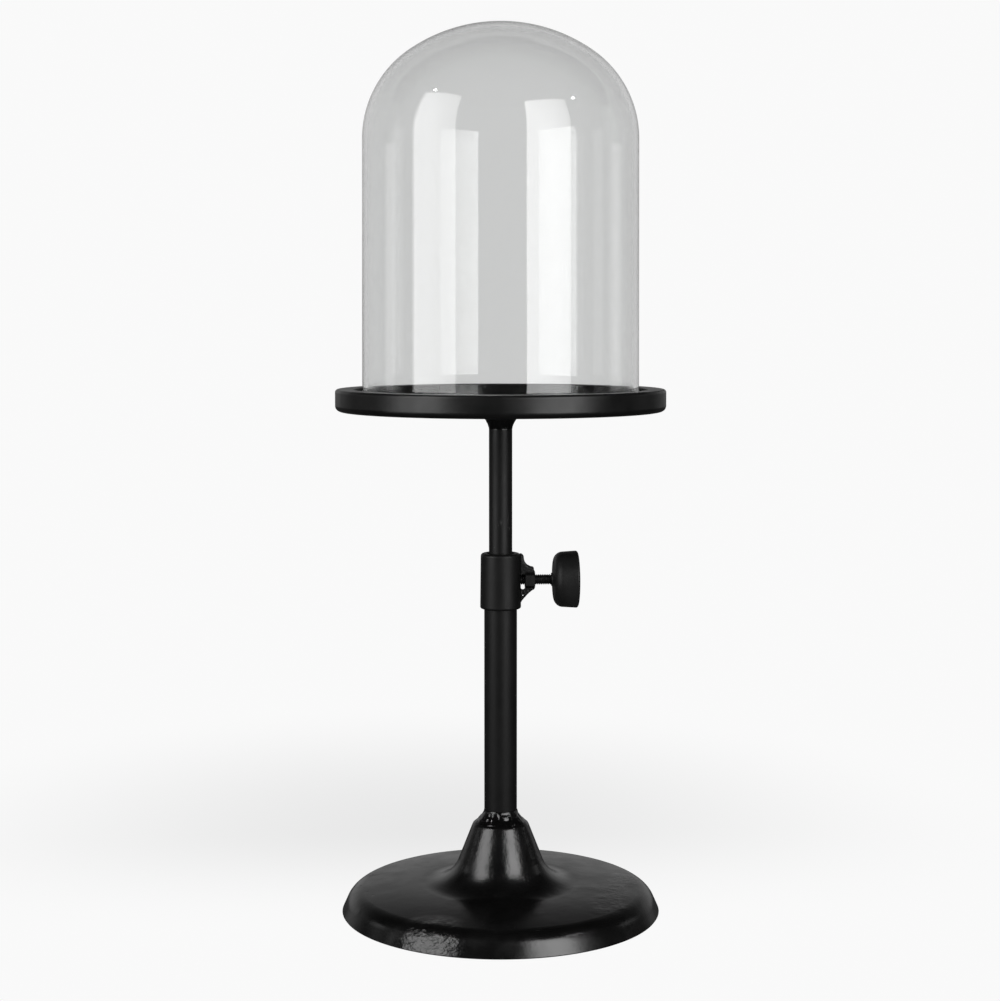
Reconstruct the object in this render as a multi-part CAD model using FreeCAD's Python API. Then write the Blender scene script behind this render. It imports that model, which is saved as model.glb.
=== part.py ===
# Bell jar dome on a telescopic display stand.
# A glass dome stands in a round black tray. The tray is welded to a steel rod that slides and
# turns in a tube, and a thumb screw through a welded nut clamps the rod. A cast iron base
# carries the tube. Millimetres, +Z up, origin on the stem axis at floor level.

import FreeCAD, Part
import math
import os

V = FreeCAD.Vector

# cast base
BASE_R = 123.3          # widest radius, at the floor
BASE_WALL_TOP_R = 119.9
BASE_WALL_TOP_Z = 8.9
BASE_EDGE_R = 15.0      # rounding between wall and top
BASE_TOP_Z = 18.5       # height the edge rounding would reach if it went on to level
BASE_EDGE_END = 82.0    # degrees; there the rounding passes into the crowned top
BASE_CROWN_R = 430.0
BASE_CROWN_END = 88.0
HUB_FOOT_R = 58.88      # where the top starts to sweep up into the hub
HUB_FOOT_Z = 22.35
HUB_SWEEP_R = 28.0
HUB_CONE_DEG = 21.5     # hub cone, measured from vertical
HUB_SHOULDER_Z = 67.6
HUB_SHOULDER_R = 4.0
BASE_LIP_Z = 0.5        # the felt stands this far proud of the casting

# felt under the base
FELT_R = 115.0
FELT_T = 1.95

# stem tube and its socket in the hub
TUBE_R = 12.7
TUBE_BORE_R = 10.2
TUBE_BOTTOM = 12.05
TUBE_TOP = 277.8
SOCKET_R = 12.78
SOCKET_FLOOR = 12.0
BEAD_R = 19.5
BEAD_TOP = 79.9

# clamp collar round the top of the tube
COLLAR_BOTTOM = 237.0
COLLAR_TOP = 280.0
COLLAR_BOTTOM_R = 15.8
COLLAR_TOP_R = 15.4
COLLAR_EDGE = 2.3
COLLAR_FOOT_EDGE = 1.5
COLLAR_MOUTH_R = 11.6
COLLAR_LIP_R = 10.6

# clamp screw, nut and pad, on an axis along +X
SCREW_Z = 259.2
SCREW_R = 3.97          # five sixteenths of an inch
SCREW_HOLE_R = 4.3
SCREW_TIP = 11.25
SCREW_END = 53.0
NUT_IN = 18.9
NUT_OUT = 26.5
NUT_FLATS = 14.0
NUT_BORE_R = 4.05
PAD_FACE = 9.06
PAD_BACK = 11.2
PAD_R = 3.2
PAD_PIN_R = 1.2
PAD_PIN_END = 14.4
PAD_SOCKET_R = 1.27
WELD_GAP = 0.02

# knob
KNOB_IN = 39.3
KNOB_OUT = 60.4
KNOB_R_IN = 21.4
KNOB_R_OUT = 22.1
KNOB_EDGE = 1.7         # rounding of the outer edge
KNOB_CROWN = 0.5        # doming of the outer face
INSERT_FLATS = 10.0
INSERT_IN = 41.2
INSERT_OUT = 53.2

# sliding rod with its guide bush
ROD_R = 9.0
ROD_TOP = 393.9
ROD_SHOULDER = 142.0
ROD_BOTTOM = 128.0
SPIGOT_R = 6.0
BUSH_R = 10.13
BUSH_BORE_R = 6.06
BUSH_PLAY = 0.3
WASHER_R = 8.5
WASHER_T = 1.4
BOLT_R = 2.45
BOLT_HEAD_R = 4.5
BOLT_HEAD_T = 3.2
BOLT_LENGTH = 12.0

# tray
TRAY_R = 127.0
TRAY_TOP = 407.0
TRAY_BOTTOM = 390.0
TRAY_FLOOR = 398.0
TRAY_RIM_IN_R = 113.0
TRAY_RECESS_Z = 392.5
TRAY_TOP_EDGE = 2.3
TRAY_LOW_EDGE = 4.5
TRAY_BOSS_Z = 385.0
TRAY_BOSS_R = 16.0
TRAY_BEAD_BOTTOM = 376.0

# glass dome
GLASS_T = 3.8
DOME_FOOT_R = 106.2
DOME_R = 105.5
DOME_FOOT = 398.05
DOME_APEX = 685.4
DOME_CROWN_R = 124.0
DOME_SHOULDER_R = 80.5


def arc(centre, radius, start_deg, end_deg):
    """Middle and end point of an arc in the r-z plane."""
    points = []
    for deg in ((start_deg + end_deg) / 2.0, end_deg):
        a = math.radians(deg)
        points.append((centre[0] + radius * math.cos(a), centre[1] + radius * math.sin(a)))
    return tuple(points)


def outline(start, steps):
    """Closed face in the XZ plane. A step is a point, or (middle, end) for an arc."""
    here, edges = V(start[0], 0, start[1]), []
    for step in list(steps) + [start]:
        if isinstance(step[0], tuple):
            mid, end = (V(p[0], 0, p[1]) for p in step)
            edges.append(Part.Arc(here, mid, end).toShape())
        else:
            end = V(step[0], 0, step[1])
            if end.distanceToPoint(here) < 1e-6:
                continue
            edges.append(Part.makeLine(here, end))
        here = end
    return Part.Face(Part.Wire(edges))


def turned(start, *steps):
    """Solid of revolution about Z."""
    return outline(start, steps).revolve(V(0, 0, 0), V(0, 0, 1), 360)


def on_screw_axis(solid):
    """Lay a solid made round Z along +X at the height of the clamp screw."""
    solid.rotate(V(0, 0, 0), V(0, 1, 0), 90)
    solid.translate(V(0, 0, SCREW_Z))
    return solid


def x_cylinder(radius, x0, x1):
    return Part.makeCylinder(radius, x1 - x0, V(x0, 0, SCREW_Z), V(1, 0, 0))


def x_hexagon(flats, x0, x1):
    """Hexagonal bar along the screw axis, a corner up."""
    corner = flats / 2.0 / math.cos(math.radians(30))
    points = []
    for k in range(7):
        a = math.radians(90 + 60 * k)
        points.append(V(x0, corner * math.cos(a), SCREW_Z + corner * math.sin(a)))
    return Part.Face(Part.makePolygon(points)).extrude(V(x1 - x0, 0, 0))


def base_casting():
    """Hollow round base: tapered wall, crowned top, and a hub that sweeps up round the tube."""
    wall = math.degrees(math.atan2(BASE_WALL_TOP_Z, BASE_WALL_TOP_R - BASE_R)) - 90
    a = math.radians(wall)
    edge = (BASE_WALL_TOP_R - BASE_EDGE_R * math.cos(a),
            BASE_TOP_Z - BASE_EDGE_R)
    e = math.radians(BASE_EDGE_END)
    crown = (edge[0] - (BASE_CROWN_R - BASE_EDGE_R) * math.cos(e),
             edge[1] - (BASE_CROWN_R - BASE_EDGE_R) * math.sin(e))
    sweep = (HUB_FOOT_R, HUB_FOOT_Z + HUB_SWEEP_R)
    sweep_arc = arc(sweep, HUB_SWEEP_R, -90, -180 + HUB_CONE_DEG)
    cone_r, cone_z = sweep_arc[1]
    slope = math.tan(math.radians(HUB_CONE_DEG))
    shoulder = (cone_r - (HUB_SHOULDER_Z - cone_z) * slope, HUB_SHOULDER_Z)
    t = math.radians(HUB_CONE_DEG)
    round_c = (shoulder[0] - HUB_SHOULDER_R * math.cos(t),
               shoulder[1] - HUB_SHOULDER_R * math.sin(t))
    top_z = round_c[1] + HUB_SHOULDER_R
    return turned(
        (BASE_R - 0.6, BASE_LIP_Z),
        (BASE_R, BASE_LIP_Z + 0.8),
        (edge[0] + BASE_EDGE_R * math.cos(a), edge[1] + BASE_EDGE_R * math.sin(a)),
        arc(edge, BASE_EDGE_R, wall, BASE_EDGE_END),
        arc(crown, BASE_CROWN_R, BASE_EDGE_END, BASE_CROWN_END),
        (HUB_FOOT_R, HUB_FOOT_Z),
        sweep_arc,
        shoulder,
        arc(round_c, HUB_SHOULDER_R, HUB_CONE_DEG, 90),
        (SOCKET_R, top_z),
        (SOCKET_R, SOCKET_FLOOR),
        (5.0, SOCKET_FLOOR),
        (5.0, 4.0),
        (19.0, 4.0),
        (20.5, 26.0),
        (30.0, 26.0),
        (52.0, 15.0),
        (108.0, 11.0),
        (109.0, 2.0),
        (FELT_R + 0.5, 2.0),
        (FELT_R + 0.5, BASE_LIP_Z),
    ), top_z


def felt_pad():
    """Felt disc glued in a shallow rebate under the base."""
    return Part.makeCylinder(FELT_R, FELT_T)


def base_weld_bead(hub_top):
    """Concave weld bead between hub and tube."""
    foot = hub_top + WELD_GAP
    return turned((SOCKET_R, foot), (BEAD_R, foot),
                  ((14.9, 75.0), (SOCKET_R + 0.2, BEAD_TOP)), (SOCKET_R, BEAD_TOP))


def stem_tube():
    """Steel tube with one cross hole for the clamp screw."""
    tube = turned((TUBE_BORE_R, TUBE_BOTTOM), (TUBE_R, TUBE_BOTTOM), (TUBE_R, TUBE_TOP),
                  (TUBE_BORE_R + 0.3, TUBE_TOP), (TUBE_BORE_R, TUBE_TOP - 0.3))
    return tube.cut(x_cylinder(SCREW_HOLE_R, 0, 30))


def collar_blank(offset):
    """Outside of the collar as a plain solid, grown by offset, for cutting the welds to it."""
    return turned((0, COLLAR_BOTTOM - 30), (TUBE_R + offset, COLLAR_BOTTOM - 30),
                  (TUBE_R + offset, COLLAR_BOTTOM), (COLLAR_BOTTOM_R + offset, COLLAR_BOTTOM),
                  (COLLAR_TOP_R + offset, COLLAR_TOP), (0, COLLAR_TOP))


def collar_sleeve():
    """Drafted collar with an inner lip that sits on the end of the tube."""
    edge = (COLLAR_TOP_R - COLLAR_EDGE, COLLAR_TOP - COLLAR_EDGE)
    foot = (COLLAR_BOTTOM_R - COLLAR_FOOT_EDGE, COLLAR_BOTTOM + COLLAR_FOOT_EDGE)
    collar = turned(
        (TUBE_R + 0.05, COLLAR_BOTTOM),
        (foot[0], COLLAR_BOTTOM),
        arc(foot, COLLAR_FOOT_EDGE, -90, 0),
        (COLLAR_TOP_R, edge[1]),
        arc(edge, COLLAR_EDGE, 0, 90),
        (COLLAR_MOUTH_R, COLLAR_TOP),
        (COLLAR_LIP_R, COLLAR_TOP - 1.0),
        (COLLAR_LIP_R, TUBE_TOP + 0.05),
        (TUBE_R + 0.05, TUBE_TOP + 0.05),
    )
    return collar.cut(x_cylinder(SCREW_HOLE_R, 0, 30))


def clamp_nut():
    """Hexagon nut held off the collar, with its outer corners chamfered."""
    nut = x_hexagon(NUT_FLATS, NUT_IN, NUT_OUT)
    corner = NUT_FLATS / 2.0 / math.cos(math.radians(30))
    cone = on_screw_axis(turned((0, NUT_IN), (corner, NUT_IN), (corner, NUT_OUT - 0.9),
                                (NUT_FLATS / 2.0 - 0.5, NUT_OUT), (0, NUT_OUT)))
    return nut.common(cone).cut(x_cylinder(NUT_BORE_R, NUT_IN - 1, NUT_OUT + 1))


def weld_web(start, steps, half_width):
    """Weld metal between collar and nut: a rounded rib cut to fit both."""
    web = outline(start, steps).extrude(V(0, 2 * half_width, 0))
    web.translate(V(0, -half_width, 0))
    curved = [e for e in web.Edges if isinstance(e.Curve, Part.Circle)
              and all(abs(abs(v.Y) - half_width) < 1e-6 for v in e.Vertexes)]
    web = web.makeFillet(1.2, curved)
    web = web.cut(collar_blank(WELD_GAP + 0.05))
    web = web.cut(x_hexagon(NUT_FLATS + 2 * WELD_GAP, NUT_IN - WELD_GAP, NUT_OUT + 5))
    return web.cut(x_cylinder(SCREW_HOLE_R, 0, 40))


def upper_weld_web():
    return weld_web(
        (10.5, 263.5),
        [(10.5, 279.0), (15.6, 279.0), ((16.9, 278.4), (17.4, 277.0)),
         ((19.5, 271.4), (25.2, 268.6)), (25.2, 263.5)], 4.5)


def lower_weld_web():
    """Gusset under the nut, open below the screw and with a small blow hole through it."""
    web = weld_web(
        (10.5, 258.0),
        [(10.5, 238.0), (13.2, 238.0), ((18.0, 245.2), (24.8, 251.6)), (25.0, 258.0)], 3.6)
    web = web.cut(Part.makeCylinder(1.75, 20, V(17.35, -10, 252.8), V(0, 1, 0)))
    web = web.cut(Part.makeBox(NUT_IN + 1, 20, 20, V(0, -10, 252.8)))
    return web.cut(Part.makeCylinder(0.9, 20, V(17.3, -10, 246.9), V(0, 1, 0)))


def screw_stud():
    """Clamp screw. Its tip has a small socket for the pin of the pressure pad."""
    stud = on_screw_axis(turned((0, SCREW_TIP), (SCREW_R - 0.8, SCREW_TIP),
                                (SCREW_R, SCREW_TIP + 0.8), (SCREW_R, SCREW_END),
                                (0, SCREW_END)))
    return stud.cut(x_cylinder(PAD_SOCKET_R, SCREW_TIP - 1, PAD_PIN_END + 0.3))


def pressure_pad():
    """Brass pad that bears on the rod and doesn't turn with the screw."""
    return on_screw_axis(turned((0, PAD_FACE), (PAD_R - 0.4, PAD_FACE),
                                (PAD_R, PAD_FACE + 0.4), (PAD_R, PAD_BACK),
                                (PAD_PIN_R, PAD_BACK), (PAD_PIN_R, PAD_PIN_END),
                                (0, PAD_PIN_END)))


def knob_insert():
    """Threaded hexagonal insert moulded into the knob."""
    bar = x_hexagon(INSERT_FLATS, INSERT_IN + 0.02, INSERT_OUT - 0.02)
    return bar.cut(x_cylinder(SCREW_R + 0.03, INSERT_IN - 1, INSERT_OUT + 1))


def knob():
    """Round plastic knob, slightly larger at its outer end, with a short hub."""
    edge = (KNOB_R_OUT - KNOB_EDGE, KNOB_OUT - KNOB_CROWN - KNOB_EDGE)
    face_r = (edge[0] ** 2 + KNOB_CROWN ** 2) / (2 * KNOB_CROWN)
    face_deg = math.degrees(math.acos(edge[0] / face_r))
    body = on_screw_axis(turned(
        (0, KNOB_IN),
        (5.0, KNOB_IN),
        ((5.5, KNOB_IN + 0.8), (6.9, KNOB_IN + 1.2)),
        (13.0, KNOB_IN + 1.8),
        ((19.2, KNOB_IN + 3.7), (KNOB_R_IN, KNOB_IN + 8.0)),
        (KNOB_R_OUT, edge[1]),
        arc(edge, KNOB_EDGE, 0, 90),
        arc((0, KNOB_OUT - face_r), face_r, face_deg, 90),
    ))
    body = body.cut(x_hexagon(INSERT_FLATS + 0.04, INSERT_IN, INSERT_OUT))
    return body.cut(x_cylinder(SCREW_R + 0.06, KNOB_IN - 1, INSERT_IN + 1))


def rod():
    """Sliding rod with a spigot at its lower end for the guide bush."""
    body = turned((0, ROD_BOTTOM), (SPIGOT_R, ROD_BOTTOM), (SPIGOT_R, ROD_SHOULDER),
                  (ROD_R, ROD_SHOULDER), (ROD_R, ROD_TOP), (0, ROD_TOP))
    return body.cut(Part.makeCylinder(BOLT_R + 0.05, BOLT_LENGTH + 2, V(0, 0, ROD_BOTTOM)))


def guide_bush():
    """Nylon bush that runs in the tube and lets the rod turn inside it."""
    low, high = ROD_BOTTOM + BUSH_PLAY, ROD_SHOULDER - BUSH_PLAY
    return turned((BUSH_BORE_R, low), (BUSH_R - 0.5, low), (BUSH_R, low + 0.5),
                  (BUSH_R, high - 0.5), (BUSH_R - 0.5, high), (BUSH_BORE_R, high))


def bush_washer():
    washer = Part.makeCylinder(WASHER_R, WASHER_T, V(0, 0, ROD_BOTTOM - WASHER_T - 0.02))
    return washer.cut(Part.makeCylinder(BOLT_R + 0.15, 10, V(0, 0, ROD_BOTTOM - 6)))


def bush_screw():
    """Socket head screw that holds the bush on the rod."""
    seat = ROD_BOTTOM - WASHER_T - 0.04
    screw = turned((0, seat - BOLT_HEAD_T), (BOLT_HEAD_R - 0.4, seat - BOLT_HEAD_T),
                   (BOLT_HEAD_R, seat - BOLT_HEAD_T + 0.4), (BOLT_HEAD_R, seat),
                   (BOLT_R, seat), (BOLT_R, ROD_BOTTOM + BOLT_LENGTH),
                   (0, ROD_BOTTOM + BOLT_LENGTH))
    points = []
    for k in range(7):
        a = math.radians(60 * k)
        points.append(V(2.3 * math.cos(a), 2.3 * math.sin(a), seat - BOLT_HEAD_T - 1))
    return screw.cut(Part.Face(Part.makePolygon(points)).extrude(V(0, 0, 3.0)))


def tray():
    """Round tray with a raised flat rim and a central boss for the rod underneath."""
    bore_r = ROD_R + 0.03
    return turned(
        (0, TRAY_FLOOR),
        (TRAY_RIM_IN_R, TRAY_FLOOR),
        (TRAY_RIM_IN_R, TRAY_TOP - 0.8),
        arc((TRAY_RIM_IN_R + 0.8, TRAY_TOP - 0.8), 0.8, 180, 90),
        (TRAY_R - TRAY_TOP_EDGE, TRAY_TOP),
        arc((TRAY_R - TRAY_TOP_EDGE, TRAY_TOP - TRAY_TOP_EDGE), TRAY_TOP_EDGE, 90, 0),
        (TRAY_R, TRAY_BOTTOM + TRAY_LOW_EDGE),
        arc((TRAY_R - TRAY_LOW_EDGE, TRAY_BOTTOM + TRAY_LOW_EDGE), TRAY_LOW_EDGE, 0, -90),
        (111.5, TRAY_BOTTOM),
        (110.5, TRAY_RECESS_Z),
        (46.0, TRAY_RECESS_Z),
        (TRAY_BOSS_R, TRAY_BOSS_Z),
        (bore_r, TRAY_BOSS_Z),
        (bore_r, ROD_TOP + 0.1),
        (0, ROD_TOP + 0.1),
    )


def tray_weld_bead():
    """Weld bead between the rod and the boss of the tray."""
    top = TRAY_BOSS_Z - WELD_GAP
    bore_r = ROD_R + 0.03
    return turned((bore_r, top), (TRAY_BOSS_R - 0.6, top),
                  ((11.0, 381.0), (bore_r + 0.15, TRAY_BEAD_BOTTOM)),
                  (bore_r, TRAY_BEAD_BOTTOM))


def glass_dome():
    """Open-bottomed dome: near-straight wall, wide shoulder, shallow crown, rounded foot."""
    offset = DOME_R - DOME_SHOULDER_R
    crown_z = DOME_APEX - DOME_CROWN_R
    rise = math.sqrt((DOME_CROWN_R - DOME_SHOULDER_R) ** 2 - offset ** 2)
    shoulder = (offset, crown_z + rise)
    meet = math.degrees(math.atan2(rise, offset))
    foot_r = GLASS_T / 2.0
    foot = (DOME_FOOT_R - foot_r, DOME_FOOT + foot_r)
    return turned(
        (foot[0] + foot_r, foot[1]),
        (DOME_R, shoulder[1]),
        arc(shoulder, DOME_SHOULDER_R, 0, meet),
        arc((0, crown_z), DOME_CROWN_R, meet, 90),
        (0, DOME_APEX - GLASS_T),
        arc((0, crown_z), DOME_CROWN_R - GLASS_T, 90, meet),
        arc(shoulder, DOME_SHOULDER_R - GLASS_T, meet, 0),
        (foot[0] - foot_r, foot[1]),
        arc(foot, foot_r, 180, 360),
    )


def build():
    base, hub_top = base_casting()
    return {
        "base_casting": base,
        "felt_pad": felt_pad(),
        "base_weld_bead": base_weld_bead(hub_top),
        "stem_tube": stem_tube(),
        "collar_sleeve": collar_sleeve(),
        "clamp_nut": clamp_nut(),
        "upper_weld_web": upper_weld_web(),
        "lower_weld_web": lower_weld_web(),
        "rod": rod(),
        "bush_washer": bush_washer(),
        "bush_screw": bush_screw(),
        "guide_bush": guide_bush(),
        "tray": tray(),
        "tray_weld_bead": tray_weld_bead(),
        "glass_dome": glass_dome(),
        "pressure_pad": pressure_pad(),
        "screw_stud": screw_stud(),
        "knob_insert": knob_insert(),
        "knob": knob(),
    }


os.makedirs("parts", exist_ok=True)
for name, shape in build().items():
    solids = shape.Solids
    if len(solids) != 1 or not solids[0].isValid():
        raise ValueError("%s is not one valid solid" % name)
    solids[0].exportStep("parts/%s.step" % name)
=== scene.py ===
"""Looks of the bell jar dome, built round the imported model. Metres, +Z up."""
import math

import bpy
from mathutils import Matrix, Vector, noise


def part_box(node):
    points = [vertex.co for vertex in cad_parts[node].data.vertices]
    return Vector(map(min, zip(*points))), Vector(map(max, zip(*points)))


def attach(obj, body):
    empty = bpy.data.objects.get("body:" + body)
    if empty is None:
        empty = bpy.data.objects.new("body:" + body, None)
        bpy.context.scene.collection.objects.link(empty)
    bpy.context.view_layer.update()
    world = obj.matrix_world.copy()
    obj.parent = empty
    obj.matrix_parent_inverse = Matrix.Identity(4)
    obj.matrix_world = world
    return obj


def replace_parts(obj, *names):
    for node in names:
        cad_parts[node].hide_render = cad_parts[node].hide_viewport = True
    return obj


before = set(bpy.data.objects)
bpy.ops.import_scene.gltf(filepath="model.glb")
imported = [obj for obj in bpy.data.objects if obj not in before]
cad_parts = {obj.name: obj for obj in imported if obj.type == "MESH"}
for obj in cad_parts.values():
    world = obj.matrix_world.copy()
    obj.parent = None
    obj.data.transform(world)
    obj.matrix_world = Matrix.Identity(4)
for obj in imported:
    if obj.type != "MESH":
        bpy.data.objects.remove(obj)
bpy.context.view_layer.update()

MM = 0.001
scene = bpy.context.scene
scene.view_settings.view_transform = "Standard"


# ---------------------------------------------------------------- shader helpers

class Nodes:
    """Short calls for the few shader nodes used here, on any node tree."""

    def __init__(self, tree):
        self.tree = tree

    def add(self, kind, values=None, **props):
        node = self.tree.nodes.new("ShaderNode" + kind)
        for key, value in props.items():
            setattr(node, key, value)
        for key, value in (values or {}).items():
            self.put(node.inputs[key], value)
        return node

    def put(self, socket, value):
        if isinstance(value, bpy.types.NodeSocket):
            self.tree.links.new(value, socket)
        else:
            socket.default_value = value

    def ramp(self, value, low, high, out_low=0.0, out_high=1.0, kind="SMOOTHSTEP"):
        return self.add("MapRange", {0: value, 1: low, 2: high, 3: out_low, 4: out_high},
                        interpolation_type=kind).outputs[0]

    def line(self, value, low, high, out_low, out_high):
        """ramp without the eased ends."""
        return self.ramp(value, low, high, out_low, out_high, "LINEAR")

    def math(self, operation, a, b, clamp=False):
        return self.add("Math", {0: a, 1: b}, operation=operation, use_clamp=clamp).outputs[0]

    def blend(self, factor, a, b):
        """Mix of two numbers; mix does the same for colours."""
        return self.add("Mix", {0: factor, 2: a, 3: b}).outputs[0]

    def mix(self, factor, a, b):
        node = self.add("Mix", data_type="RGBA")
        self.put(node.inputs[0], factor)
        self.put(node.inputs[6], a)
        self.put(node.inputs[7], b)
        return node.outputs[2]


class Shader(Nodes):
    """A node material, with its place in object coordinates."""

    def __init__(self, name):
        self.material = bpy.data.materials.new(name)
        self.material.use_nodes = True
        super().__init__(self.material.node_tree)
        self.surface = self.tree.nodes["Principled BSDF"]
        self.place = self.add("TexCoord").outputs["Object"]

    def set(self, **values):
        for key, value in values.items():
            self.put(self.surface.inputs[key.replace("_", " ")], value)
        return self.material

    def stretched(self, x, y, z):
        """Object coordinates scaled per axis."""
        return self.add("VectorMath", {0: self.place, 1: (x, y, z)},
                        operation="MULTIPLY").outputs[0]

    def noise(self, scale, detail=3.0, rough=0.55, vector=None):
        return self.add("TexNoise", {"Vector": vector or self.place, "Scale": scale,
                                     "Detail": detail, "Roughness": rough}).outputs["Fac"]

    def bump(self, height, distance, strength=1.0, normal=None):
        node = self.add("Bump", {"Height": height, "Distance": distance,
                                 "Strength": strength})
        if normal is not None:
            self.put(node.inputs["Normal"], normal)
        return node.outputs["Normal"]

    def near(self, point, inner, outer):
        """1 within inner of a point, 0 beyond outer."""
        d = self.add("VectorMath", {0: self.place, 1: point},
                     operation="DISTANCE").outputs["Value"]
        return self.ramp(d, inner, outer, 1.0, 0.0)


def grey(v, tint=0.0):
    return (v, v, v * (1.0 + tint), 1.0)


HUB_RISE = (0.026, 0.04)    # heights between which the smooth base turns to the rough hub


def enamel(name, rough=(0.19, 0.27), peel=0.03, waves=0.12, rough_spots=(), holes=()):
    """Thick gloss black enamel on a casting: orange peel, slow waves, pits and grit.
    rough_spots are (point, inner, outer, depth), holes are (point, radius)."""
    s = Shader(name)
    fine = s.noise(420.0, 2.0)
    slow = s.noise(38.0, 2.0, 0.5)
    up = s.add("SeparateXYZ", {0: s.place}).outputs["Z"]
    runs = s.noise(260.0, 4.0, 0.65, s.stretched(1.0, 1.0, 0.3))
    runs = s.math("MULTIPLY", runs, s.ramp(up, *HUB_RISE))
    normal = s.bump(slow, waves * MM * 2.0)
    normal = s.bump(fine, peel * MM, normal=normal)
    ragged = s.math("MULTIPLY", s.noise(130.0, 4.0, 0.6), s.ramp(up, *HUB_RISE))
    normal = s.bump(runs, 0.2 * MM, normal=normal)
    normal = s.bump(ragged, 0.3 * MM, normal=normal)
    pits = s.add("TexVoronoi", {"Vector": s.place, "Scale": 62.0}).outputs["Distance"]
    pits = s.math("MULTIPLY", s.ramp(pits, 0.04, 0.085, 1.0, 0.0),
                  s.ramp(s.noise(24.0, 1.0), 0.56, 0.6))
    normal = s.bump(s.math("SUBTRACT", 1.0, pits), 0.35 * MM, normal=normal)
    grit = s.math("MULTIPLY", s.noise(210.0, 4.0, 0.7), s.ramp(s.noise(17.0, 2.0), 0.6, 0.72))
    normal = s.bump(grit, 0.5 * MM, normal=normal)
    for point, radius in holes:
        rim = s.math("MULTIPLY", s.noise(700.0, 2.0), 0.0012)
        away = s.add("VectorMath", {0: s.place, 1: point}, operation="DISTANCE").outputs["Value"]
        hole = s.ramp(s.math("ADD", away, rim), radius * 0.5, radius + 0.0007)
        normal = s.bump(hole, 1.0 * MM, normal=normal)
    for point, inner, outer, depth in rough_spots:
        ripples = s.noise(105.0, 4.0, 0.6, s.stretched(1.0, 0.8, 1.7))
        height = s.math("MULTIPLY", ripples, s.near(point, inner, outer))
        normal = s.bump(height, depth, normal=normal)
    return s.set(Base_Color=s.mix(slow, grey(0.0015), grey(0.0045)),
                 Roughness=s.ramp(s.noise(60.0, 3.0), 0.3, 0.7, *rough),
                 Specular_IOR_Level=0.8, Normal=normal)


def satin_paint(name, colour=0.003, rough=(0.42, 0.52), grain=0.03, scuffs=None):
    """Sprayed satin black on steel: fine grain, faint runs along Z and dust nibs.
    scuffs is the pair of heights between which the paint is worn."""
    s = Shader(name)
    grain_tex = s.noise(900.0, 2.0, 0.6)
    runs = s.noise(70.0, 3.0, 0.6, s.stretched(1.0, 1.0, 0.07))
    nibs = s.add("TexVoronoi", {"Vector": s.place, "Scale": 120.0}).outputs["Distance"]
    nibs = s.math("MULTIPLY", s.ramp(nibs, 0.03, 0.07, 1.0, 0.0),
                  s.ramp(s.noise(31.0, 1.0), 0.58, 0.62))
    normal = s.bump(runs, 0.12 * MM)
    normal = s.bump(grain_tex, grain * MM, normal=normal)
    normal = s.bump(nibs, 0.18 * MM, normal=normal)
    base = s.mix(runs, grey(colour * 0.7), grey(colour * 1.4))
    roughness = s.ramp(s.noise(45.0, 3.0), 0.3, 0.7, *rough)
    if scuffs:
        low, high = scuffs
        height = s.add("SeparateXYZ", {0: s.place}).outputs["Z"]
        band = s.math("MULTIPLY", s.ramp(height, low - 0.004, low),
                      s.ramp(height, high - 0.01, high, 1.0, 0.0))
        marks = s.ramp(s.noise(260.0, 4.0, 0.75, s.stretched(1.0, 1.0, 0.35)), 0.6, 0.68)
        marks = s.math("MULTIPLY", marks, band)
        base = s.mix(marks, base, grey(0.035))
        roughness = s.math("ADD", roughness, s.math("MULTIPLY", marks, 0.15))
        normal = s.bump(marks, 0.06 * MM, normal=normal)
    return s.set(Base_Color=base, Roughness=roughness, Specular_IOR_Level=0.38, Normal=normal)


def powder_coat(name):
    """Satin powder coat of the tray, with a fine even texture."""
    s = Shader(name)
    grain = s.noise(1100.0, 3.0, 0.6)
    slow = s.noise(30.0, 2.0)
    normal = s.bump(slow, 0.25 * MM)
    normal = s.bump(grain, 0.035 * MM, normal=normal)
    return s.set(Base_Color=s.mix(slow, grey(0.002), grey(0.0045)),
                 Roughness=s.ramp(s.noise(50.0, 3.0), 0.3, 0.7, 0.30, 0.38),
                 Specular_IOR_Level=0.5, Normal=normal)


def moulded_plastic(name):
    """Black moulded plastic: soft sheen and a fine spark-eroded grain."""
    s = Shader(name)
    grain = s.noise(1400.0, 2.0, 0.5)
    flow = s.noise(90.0, 2.0)
    return s.set(Base_Color=s.mix(flow, grey(0.005), grey(0.009)),
                 Roughness=s.ramp(flow, 0.3, 0.7, 0.42, 0.52), Specular_IOR_Level=0.3,
                 Normal=s.bump(grain, 0.05 * MM))


def metal(name, colour, rough, brush):
    """Bare metal with turning marks; brush scales the marks per axis."""
    s = Shader(name)
    marks = s.noise(900.0, 3.0, 0.6, s.stretched(*brush))
    dirt = s.noise(140.0, 4.0, 0.65)
    dark = tuple(0.55 * c for c in colour[:3]) + (1.0,)
    return s.set(Base_Color=s.mix(s.ramp(dirt, 0.35, 0.7), colour, dark), Metallic=1.0,
                 Roughness=s.ramp(marks, 0.3, 0.7, rough, rough + 0.15),
                 Normal=s.bump(marks, 0.02 * MM))


def black_oxide(name):
    """Blackened steel of the clamp screw."""
    s = Shader(name)
    worn = s.ramp(s.noise(500.0, 4.0, 0.7), 0.55, 0.75)
    return s.set(Base_Color=s.mix(worn, grey(0.012), grey(0.05)), Metallic=0.6,
                 Roughness=s.ramp(worn, 0.0, 1.0, 0.42, 0.3),
                 Normal=s.bump(s.noise(1500.0, 2.0), 0.03 * MM))


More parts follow.
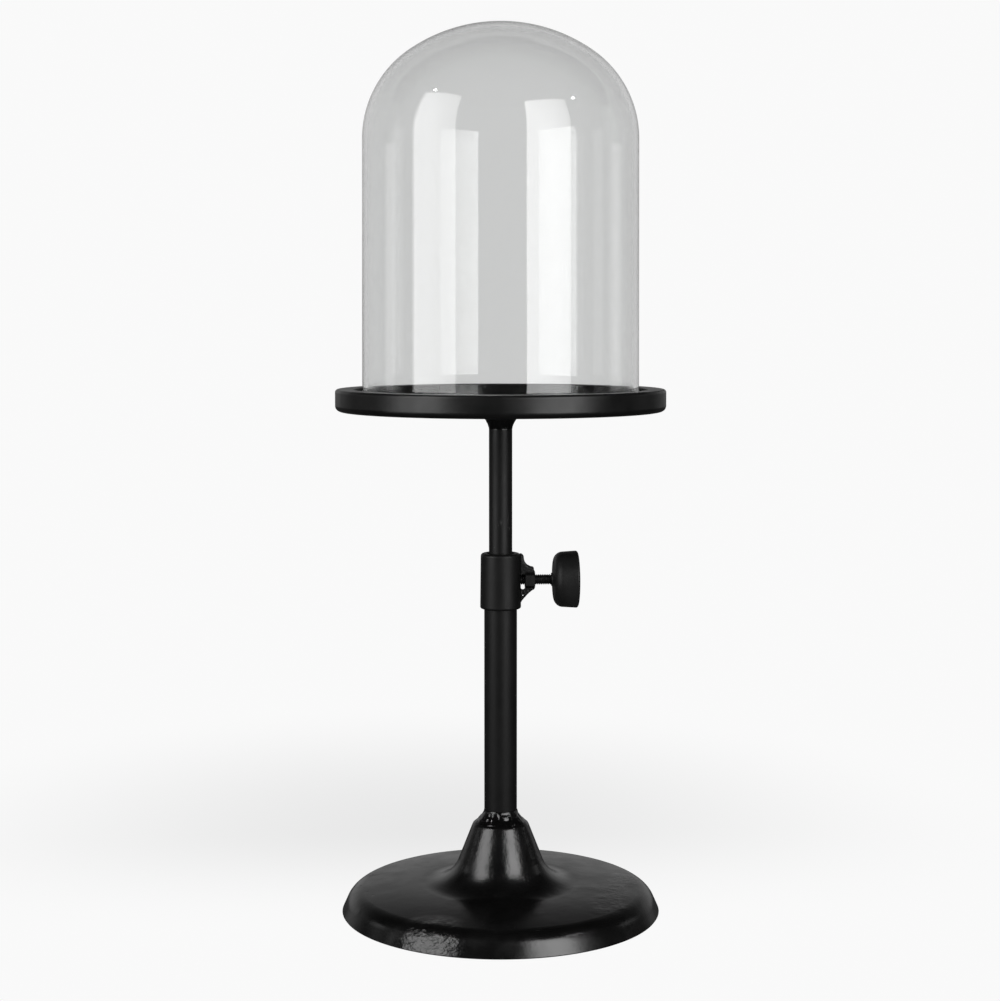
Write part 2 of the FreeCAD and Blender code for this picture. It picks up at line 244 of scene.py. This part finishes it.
def nylon(name):
    """Natural nylon of the guide bush."""
    s = Shader(name)
    cloud = s.noise(120.0, 3.0)
    return s.set(Base_Color=s.mix(cloud, (0.78, 0.76, 0.69, 1), (0.66, 0.63, 0.55, 1)),
                 Roughness=s.ramp(cloud, 0.3, 0.7, 0.45, 0.55), Subsurface_Weight=0.1,
                 Subsurface_Radius=(0.002, 0.002, 0.0015),
                 Normal=s.bump(s.noise(1200.0, 2.0), 0.03 * MM))


def felt(name):
    """Pressed black felt: matted fibres in every direction."""
    s = Shader(name)
    fibre_a = s.noise(900.0, 4.0, 0.7, s.stretched(1.0, 0.15, 1.0))
    fibre_b = s.noise(900.0, 4.0, 0.7, s.stretched(0.15, 1.0, 1.0))
    fibres = s.math("MAXIMUM", fibre_a, fibre_b)
    return s.set(Base_Color=s.mix(s.ramp(fibres, 0.45, 0.75), grey(0.008), grey(0.05)),
                 Roughness=0.95, Sheen_Weight=0.35, Sheen_Roughness=0.5,
                 Normal=s.bump(fibres, 0.35 * MM))


def clear_glass(name):
    """Grey-white blown glass with very slow waves in the wall."""
    s = Shader(name)
    waves = s.noise(9.0, 1.0, 0.4, s.stretched(1.0, 1.0, 0.35))
    return s.set(Base_Color=(0.842, 0.846, 0.844, 1.0), Roughness=0.0, IOR=1.5,
                 Transmission_Weight=1.0, Normal=s.bump(waves, 0.25 * MM))


# ---------------------------------------------------------------- mesh helpers

BEAD_ROWS, BEAD_COUNT = 26, 160
THREAD_COUNT, THREAD_STEPS = 40, 12     # points per loop, and loops per turn of the thread
GLASS_COUNT = 240
CLOSED = 0.0001 * MM                    # radius that closes an end of a turned piece


def mesh_object(name, verts, faces, material, body):
    """Smooth mesh that rides on body and is shown in slot."""
    mesh = bpy.data.meshes.new(name)
    mesh.from_pydata([tuple(v) for v in verts], [], faces)
    mesh.validate()
    mesh.polygons.foreach_set("use_smooth", [True] * len(mesh.polygons))
    mesh.materials.append(material)
    ob = bpy.data.objects.new(name, mesh)
    scene.collection.objects.link(ob)
    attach(ob, body)
    return ob


def ring_faces(rows, count):
    """Quads of a closed tube of rows loops, each with count points."""
    faces = []
    for j in range(rows - 1):
        for i in range(count):
            k = (i + 1) % count
            low, high = j * count, (j + 1) * count
            faces.append((low + i, low + k, high + k, high + i))
    return faces


def arc_points(centre, radius, start, end, count):
    """Points of an arc in the r-z plane, angles in degrees."""
    pts = []
    for k in range(count):
        a = math.radians(start + (end - start) * k / (count - 1))
        pts.append((centre[0] + radius * math.cos(a), centre[1] + radius * math.sin(a)))
    return pts


def lathe(name, profile, count, material, body, push=None):
    """Turned piece about Z. profile is a list of (r, z); push(p, j, n) moves a point."""
    verts = []
    for j, (r, z) in enumerate(profile):
        for i in range(count):
            a = 2 * math.pi * i / count
            p = Vector((r * math.cos(a), r * math.sin(a), z))
            verts.append(push(p, j, len(profile)) if push else p)
    return mesh_object(name, verts, ring_faces(len(profile), count), material, body)


def weld_bead(name, node, body, material, inner, foot, lumps, seed, hanging=False):
    """Lumpy fillet weld round a bar, in the room of its CAD ring. Its wide foot is at
    the bottom, or at the top when the bead is hanging."""
    low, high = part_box(node)
    z0, z1 = low.z, high.z
    profile = []
    for j in range(BEAD_ROWS):
        t = j / (BEAD_ROWS - 1)
        r = inner + (foot - inner) * (1 - t) ** 2.1
        profile.append((r, z1 - (z1 - z0) * t if hanging else z0 + (z1 - z0) * t))

    def push(p, j, n):
        t = j / (n - 1)
        out = Vector((p.x, p.y, 0)).normalized()
        swell = math.sin(math.pi * min(1.0, t * 1.05 + 0.02)) ** 0.6
        big = noise.noise(Vector((p.x, p.y, p.z * 0.8)) / (lumps * 2.0) + Vector((seed, 0, 0)))
        small = noise.noise(p / (lumps * 0.9) + Vector((0, seed, 0)))
        ripple = noise.noise(p / (lumps * 0.4) + Vector((0, 0, seed)))
        q = p + out * (lumps * swell * (0.08 + 0.5 * abs(big) + 0.12 * small + 0.02 * ripple))
        r = math.hypot(q.x, q.y)
        if r > foot:    # never wider than the CAD ring
            q.x *= foot / r
            q.y *= foot / r
        return q

    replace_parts(lathe(name, profile, BEAD_COUNT, material, body, push), node)


def softened(name, node, body, material, voxel, rough, swell, seed):
    """A CAD piece remeshed into one lumpy skin, as weld metal under paint."""
    ob = bpy.data.objects.new(name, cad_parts[node].data.copy())
    scene.collection.objects.link(ob)
    remesh = ob.modifiers.new("remesh", "REMESH")
    remesh.mode = "VOXEL"
    remesh.voxel_size = voxel
    smooth = ob.modifiers.new("smooth", "SMOOTH")
    smooth.factor = 0.5
    smooth.iterations = 2
    mesh = bpy.data.meshes.new_from_object(ob.evaluated_get(bpy.context.evaluated_depsgraph_get()))
    for v in mesh.vertices:
        n = noise.noise(v.co / (rough * 6) + Vector((seed, seed, 0)))
        n += 0.4 * noise.noise(v.co / (rough * 2.2) + Vector((0, seed, seed)))
        v.co += v.normal * (n * rough + swell)
    mesh.materials.clear()
    mesh.materials.append(material)
    mesh.polygons.foreach_set("use_smooth", [True] * len(mesh.polygons))
    bpy.data.objects.remove(ob)
    piece = bpy.data.objects.new(name, mesh)
    scene.collection.objects.link(piece)
    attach(piece, body)
    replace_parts(piece, node)


def threaded_stud(name, node, body, material):
    """Screw with a real helical thread along +X, and a socket in its tip."""
    low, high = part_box(node)
    axis_z, major = (low.z + high.z) / 2, (high.z - low.z) / 2
    pitch, minor, bore, bore_depth = 1.411 * MM, major - 0.62 * MM, 1.27 * MM, 3.45 * MM
    tip, tip_length = minor - 0.3 * MM, 1.1 * MM
    count = THREAD_COUNT
    x0, x1 = low.x, high.x
    loops = [[(x0 + bore_depth, CLOSED)] * count, [(x0 + bore_depth, bore)] * count,
             [(x0, bore)] * count]
    n = int((x1 - x0) / pitch * THREAD_STEPS)
    for j in range(n + 1):
        x = x0 + (x1 - x0) * j / n
        loop = []
        for i in range(count):
            turn = ((x - x0) / pitch - i / count) % 1.0
            flank = abs(2 * turn - 1)
            r = minor + (major - minor) * min(1.0, max(0.0, (flank - 0.2) / 0.5))
            taper = min(1.0, (x - x0) / tip_length)
            loop.append((x, min(r, tip + (major - tip) * taper)))
        loops.append(loop)
    loops.append([(x1, CLOSED)] * count)
    verts = []
    for loop in loops:
        for i, (x, r) in enumerate(loop):
            a = 2 * math.pi * i / count
            verts.append((x, -r * math.sin(a), axis_z + r * math.cos(a)))
    ob = mesh_object(name, verts, ring_faces(len(loops), count), material, body)
    socket, rest = 2 * count, len(ob.data.polygons) - 2 * count
    ob.data.polygons.foreach_set("use_smooth", [False] * socket + [True] * rest)
    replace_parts(ob, node)


def glass_shell(name, node, body, material):
    """The dome as one smooth turned shell with a rounded foot."""
    low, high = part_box(node)
    wall, crown_r, shoulder_r, straight_r = 3.8 * MM, 124 * MM, 80.5 * MM, 105.5 * MM
    wall_rows, shoulder_rows, crown_rows, foot_rows = 25, 40, 36, 14
    nearly_up = 89.98    # degrees: stops just short of the axis
    foot_r, apex, foot_z = high.x, high.z, low.z
    off = straight_r - shoulder_r
    crown_z = apex - crown_r
    rise = math.sqrt((crown_r - shoulder_r) ** 2 - off ** 2)
    meet = math.degrees(math.atan2(rise, off))
    bead = wall / 2
    outer, inner = [], []
    for k in range(wall_rows):
        t = k / (wall_rows - 1)
        z = (foot_z + bead) * (1 - t) + (crown_z + rise) * t
        r = foot_r * (1 - t) + straight_r * t
        outer.append((r, z))
        inner.append((r - wall, z))
    shoulder = (off, crown_z + rise)
    for side, step in ((outer, 0.0), (inner, wall)):
        side += arc_points(shoulder, shoulder_r - step, 0, meet, shoulder_rows)[1:]
        side += arc_points((0, crown_z), crown_r - step, meet, nearly_up, crown_rows)[1:]
    foot = arc_points((foot_r - bead, foot_z + bead), bead, 180, 360, foot_rows)[1:-1]
    profile = list(reversed(inner)) + foot + outer
    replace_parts(lathe(name, profile, GLASS_COUNT, material, body), node)


# ---------------------------------------------------------------- materials and pieces

base_paint = enamel("black_enamel", rough_spots=(
    ((-0.058, -0.106, 0.006), 0.018, 0.034, 1.5 * MM),
    ((-0.089, 0.085, 0.002), 0.005, 0.017, 0.4 * MM)),
    holes=(((-0.0123, -0.0171, 0.066), 1.3 * MM), ((-0.012, -0.0268, 0.0447), 0.8 * MM),
           ((0.0139, -0.0285, 0.0385), 0.9 * MM), ((0.0165, -0.0272, 0.0372), 0.9 * MM),
           ((-0.0162, -0.0243, 0.0475), 0.5 * MM)))
weld_paint = enamel("black_enamel_weld", rough=(0.12, 0.2), peel=0.01, waves=0.05)
tube_paint = satin_paint("satin_black_stem")
rod_paint = satin_paint("satin_black_rod", scuffs=(0.281, 0.312))
tray_paint = powder_coat("satin_black_tray")
plastic = moulded_plastic("black_plastic_knob")
screw_black = black_oxide("blackened_steel")
steel = metal("turned_steel", (0.42, 0.42, 0.43, 1), 0.3, (1.0, 1.0, 6.0))
brass = metal("turned_brass", (0.62, 0.43, 0.17, 1), 0.28, (6.0, 1.0, 1.0))
bush_white = nylon("natural_nylon")
felt_black = felt("black_felt")
glass = clear_glass("dome_glass")

PAINTS = {
    "base_casting": base_paint, "felt_pad": felt_black, "stem_tube": tube_paint,
    "collar_sleeve": tube_paint, "clamp_nut": tube_paint, "rod": rod_paint,
    "tray": tray_paint, "bush_washer": steel, "bush_screw": steel, "knob_insert": steel,
    "guide_bush": bush_white, "pressure_pad": brass, "knob": plastic,
}
for node, paint in PAINTS.items():
    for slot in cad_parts[node].material_slots:
        slot.material = paint

weld_bead("hub_weld", "base_weld_bead", "stand", weld_paint,
          inner=12.75 * MM, foot=19.5 * MM, lumps=3.2 * MM, seed=3.7)
weld_bead("tray_weld", "tray_weld_bead", "upper", weld_paint,
          inner=9.05 * MM, foot=13.2 * MM, lumps=1.6 * MM, seed=8.1, hanging=True)
softened("nut_weld_top", "upper_weld_web", "stand", tube_paint,
         voxel=0.35 * MM, rough=0.25 * MM, swell=0.45 * MM, seed=1.3)
softened("nut_weld_low", "lower_weld_web", "stand", tube_paint,
         voxel=0.3 * MM, rough=0.22 * MM, swell=0.15 * MM, seed=5.9)
threaded_stud("clamp_screw", "screw_stud", "thumb_screw", screw_black)
glass_shell("bell_glass", "glass_dome", "dome", glass)


# ---------------------------------------------------------------- floor, light and camera

BACKDROP = 0.95            # white of the floor and of the wall behind
BEHIND_GLASS = 1.7         # strength of the lights for rays that have met glass
FLOOR_IN_MIRROR = 0.12     # strength of the floor in mirror reflections
ROOM_DIFFUSE = 0.5         # strength of the world for light that surfaces scatter
FLOOR_HALF = 1.4
POOL_SHIFT, POOL_SCALE = (0.05, -0.24, 0.0), (1.8, 1.72, 1.0)    # pool of shade on the floor
LAMP_AIM_Z = 0.62          # height on the dome that the lamps point at

# Camera: azimuth and angles in degrees, distance and height in metres, lens in mm.
CAM_TURN, CAM_DIST, CAM_HEIGHT = -3.6, 1.5081, 0.4632
CAM_PITCH, CAM_YAW, CAM_LENS, CAM_SHIFT = 3.643, 0.018, 70.55, -0.06
CAM_SENSOR, CAM_NEAR, CAM_FAR = 36, 0.05, 50


def make_floor():
    """Even white glowing floor, with a faint painted pool of shade behind the foot and painted
    contact shade beside it.
    """
    mesh = bpy.data.meshes.new("floor")
    h = FLOOR_HALF
    mesh.from_pydata([(-h, -h, 0), (h, -h, 0), (h, h, 0), (-h, h, 0)], [], [(0, 1, 2, 3)])
    floor = bpy.data.objects.new("floor", mesh)
    scene.collection.objects.link(floor)
    floor.visible_glossy = False
    s = Shader("pale_floor")
    # painted shade: a soft spherical falloff darkens the floor's glow in a pool behind the foot
    spread = s.add("VectorMath", {0: s.place, 1: POOL_SHIFT}, operation="ADD").outputs[0]
    spread = s.add("VectorMath", {0: spread, 1: POOL_SCALE}, operation="MULTIPLY").outputs[0]
    pool = s.add("TexGradient", {"Vector": spread}, gradient_type="SPHERICAL").outputs["Fac"]
    pool = s.math("MULTIPLY", s.ramp(pool, 0.0, 1.0), 0.15)
    # painted contact shade: the glow is darker where ambient occlusion finds the foot close by
    close = s.add("AmbientOcclusion", {"Distance": 0.06}, samples=8).outputs["AO"]
    close = s.ramp(close, 0.3, 1.0, 0.08, 0.0)
    behind = s.ramp(s.add("SeparateXYZ", {0: s.place}).outputs["Y"], -0.05, 0.25)
    shade = s.math("MULTIPLY", s.math("ADD", pool, close), behind)
    tone = s.mix(shade, grey(BACKDROP), grey(0.0))
    mirrored = s.add("LightPath").outputs["Glossy Depth"]
    strength = s.ramp(mirrored, 0.0, 1.0, 1.0, FLOOR_IN_MIRROR)
    light = s.add("Emission", {"Color": tone, "Strength": strength}).outputs[0]
    below = s.add("MixShader", {0: s.add("NewGeometry").outputs["Backfacing"], 1: light,
                                2: s.add("BsdfTransparent").outputs[0]}).outputs[0]
    s.tree.links.new(below, s.tree.nodes["Material Output"].inputs["Surface"])
    mesh.materials.append(s.material)


def straight_through(nodes):
    """Light Path outputs, and 1 for a ray that has passed through glass and met nothing
    else. It counts by depth, because lights don't know the kind of ray that finds them."""
    path = nodes.add("LightPath").outputs
    bounces = nodes.math("ADD", path["Glossy Depth"], path["Diffuse Depth"])
    none = nodes.math("LESS_THAN", bounces, 0.5)
    return path, nodes.math("MULTIPLY", none, path["Transmission Depth"], clamp=True)


def make_world():
    """White to the eye and through the glass; a dim studio with a pale far side (+Y) in
    reflections, which is paler for light that has met the glass."""
    world = bpy.data.worlds.new("studio")
    scene.world = world
    world.use_nodes = True
    world.node_tree.nodes.clear()
    n = Nodes(world.node_tree)
    way = n.add("SeparateXYZ", {0: n.add("TexCoord").outputs["Generated"]}).outputs

    # Glow by height: 0 is straight down, 0.5 the horizon, 1 straight up.
    stops = ((0.0, 0.03), (0.462, 0.05), (0.488, 0.36), (0.56, 0.40), (0.605, 0.36),
             (0.645, 0.33), (0.685, 0.18), (0.74, 0.07), (0.84, 0.03))
    by_height = n.add("ValToRGB", {0: n.line(way["Z"], -1.0, 1.0, 0.0, 1.0)})
    elements = by_height.color_ramp.elements
    while len(elements) < len(stops):
        elements.new(0.5)
    for element, (at, value) in zip(elements, stops):
        element.position, element.color = at, grey(value)
    far_side = n.ramp(way["Y"], 0.45, 0.9, 0.06, 1.0)
    dim = n.math("MULTIPLY", by_height.outputs[0], far_side)

    far_in_glass = n.line(way["Y"], 0.2, 0.8, 0.06, 0.80)
    crown_in_glass = n.line(way["Z"], 0.08, 0.4, 1.0, 1.15)
    glassy = n.math("MULTIPLY", far_in_glass, crown_in_glass)

    path, direct = straight_through(n)
    room = n.blend(path["Transmission Depth"], dim, glassy)
    room = n.blend(path["Diffuse Depth"], room, ROOM_DIFFUSE)
    seen = n.math("MAXIMUM", path["Is Camera Ray"], direct)
    glow = n.add("Background", {"Color": n.blend(seen, room, BACKDROP)})
    n.add("OutputWorld", {"Surface": glow.outputs[0]})


def panel(name, azimuth, distance, low, high, width, radiance, fade=1.0, shape="RECTANGLE"):
    """Soft light standing round the object. Azimuth 0 is towards -Y, positive to +X.
    It is out for rays that come straight through glass. For other light that has met
    glass it is stronger at one end, and dimmer by fade at the other."""
    a = math.radians(azimuth)
    light = bpy.data.lights.new(name, "AREA")
    light.shape = shape
    light.size = width
    if shape == "RECTANGLE":
        light.size_y = high - low
        area = width * (high - low)
    else:
        area = math.pi * width * width / 4
    light.energy = radiance * math.pi * area
    ob = bpy.data.objects.new(name, light)
    scene.collection.objects.link(ob)
    ob.location = (distance * math.sin(a), -distance * math.cos(a), (low + high) / 2)
    ob.rotation_euler = (math.radians(90), 0, a)
    ob.visible_camera = False
    light.use_nodes = True
    n = Nodes(light.node_tree)
    path, direct = straight_through(n)
    where = n.add("NewGeometry").outputs["Parametric"]
    middle = n.add("VectorMath", {0: where, 1: (0.5, 0.5, 0.0)}, operation="DISTANCE")
    fall = n.line(middle.outputs["Value"], 0.0, 0.6, 1.1, 0.85)
    along = n.add("SeparateXYZ", {0: where}).outputs["X"]
    side = n.line(along, 0.0, 1.0, BEHIND_GLASS, BEHIND_GLASS * fade)
    inside = n.line(path["Transmission Depth"], 0.0, 1.0, 1.0, side)
    strength = n.math("MULTIPLY", fall, inside)
    lit = n.math("MULTIPLY", n.math("SUBTRACT", 1.0, direct), strength)
    n.put(n.tree.nodes["Emission"].inputs["Strength"], lit)
    return ob


def lamp(name, azimuth, elevation, distance, width, radiance):
    """Small round light above the object, aimed at the dome. Angles in degrees."""
    a, e = math.radians(azimuth), math.radians(elevation)
    z = LAMP_AIM_Z + distance * math.tan(e)
    ob = panel(name, azimuth, distance, z, z, width, radiance, shape="DISK")
    aim = Vector((0, 0, LAMP_AIM_Z)) - ob.location
    ob.rotation_euler = aim.to_track_quat("-Z", "Y").to_euler()


def make_camera():
    data = bpy.data.cameras.new("camera")
    data.sensor_width = CAM_SENSOR
    data.lens = CAM_LENS
    data.shift_y = CAM_SHIFT
    data.clip_start, data.clip_end = CAM_NEAR, CAM_FAR
    cam = bpy.data.objects.new("camera", data)
    scene.collection.objects.link(cam)
    a = math.radians(CAM_TURN)
    cam.location = (CAM_DIST * math.sin(a), -CAM_DIST * math.cos(a), CAM_HEIGHT)
    cam.rotation_euler = (math.radians(90 - CAM_PITCH), 0, a + math.radians(CAM_YAW))
    scene.camera = cam


make_floor()
make_world()
panel("soft_left", CAM_TURN - 55, 1.5, 0.10, 1.76, 1.05, 2.9, 0.42)
panel("soft_right", CAM_TURN + 39, 1.5, 0.10, 1.55, 0.99, 3.6, 0.25)
panel("edge_left", CAM_TURN - 101, 1.5, 0.36, 0.72, 0.33, 0.5)
panel("edge_right", CAM_TURN + 108, 1.5, 0.36, 0.72, 0.42, 0.38)
lamp("lamp_left", CAM_TURN - 66, 39, 1.5, 0.08, 60)
lamp("lamp_right", CAM_TURN + 68, 31, 1.5, 0.07, 60)
make_camera()
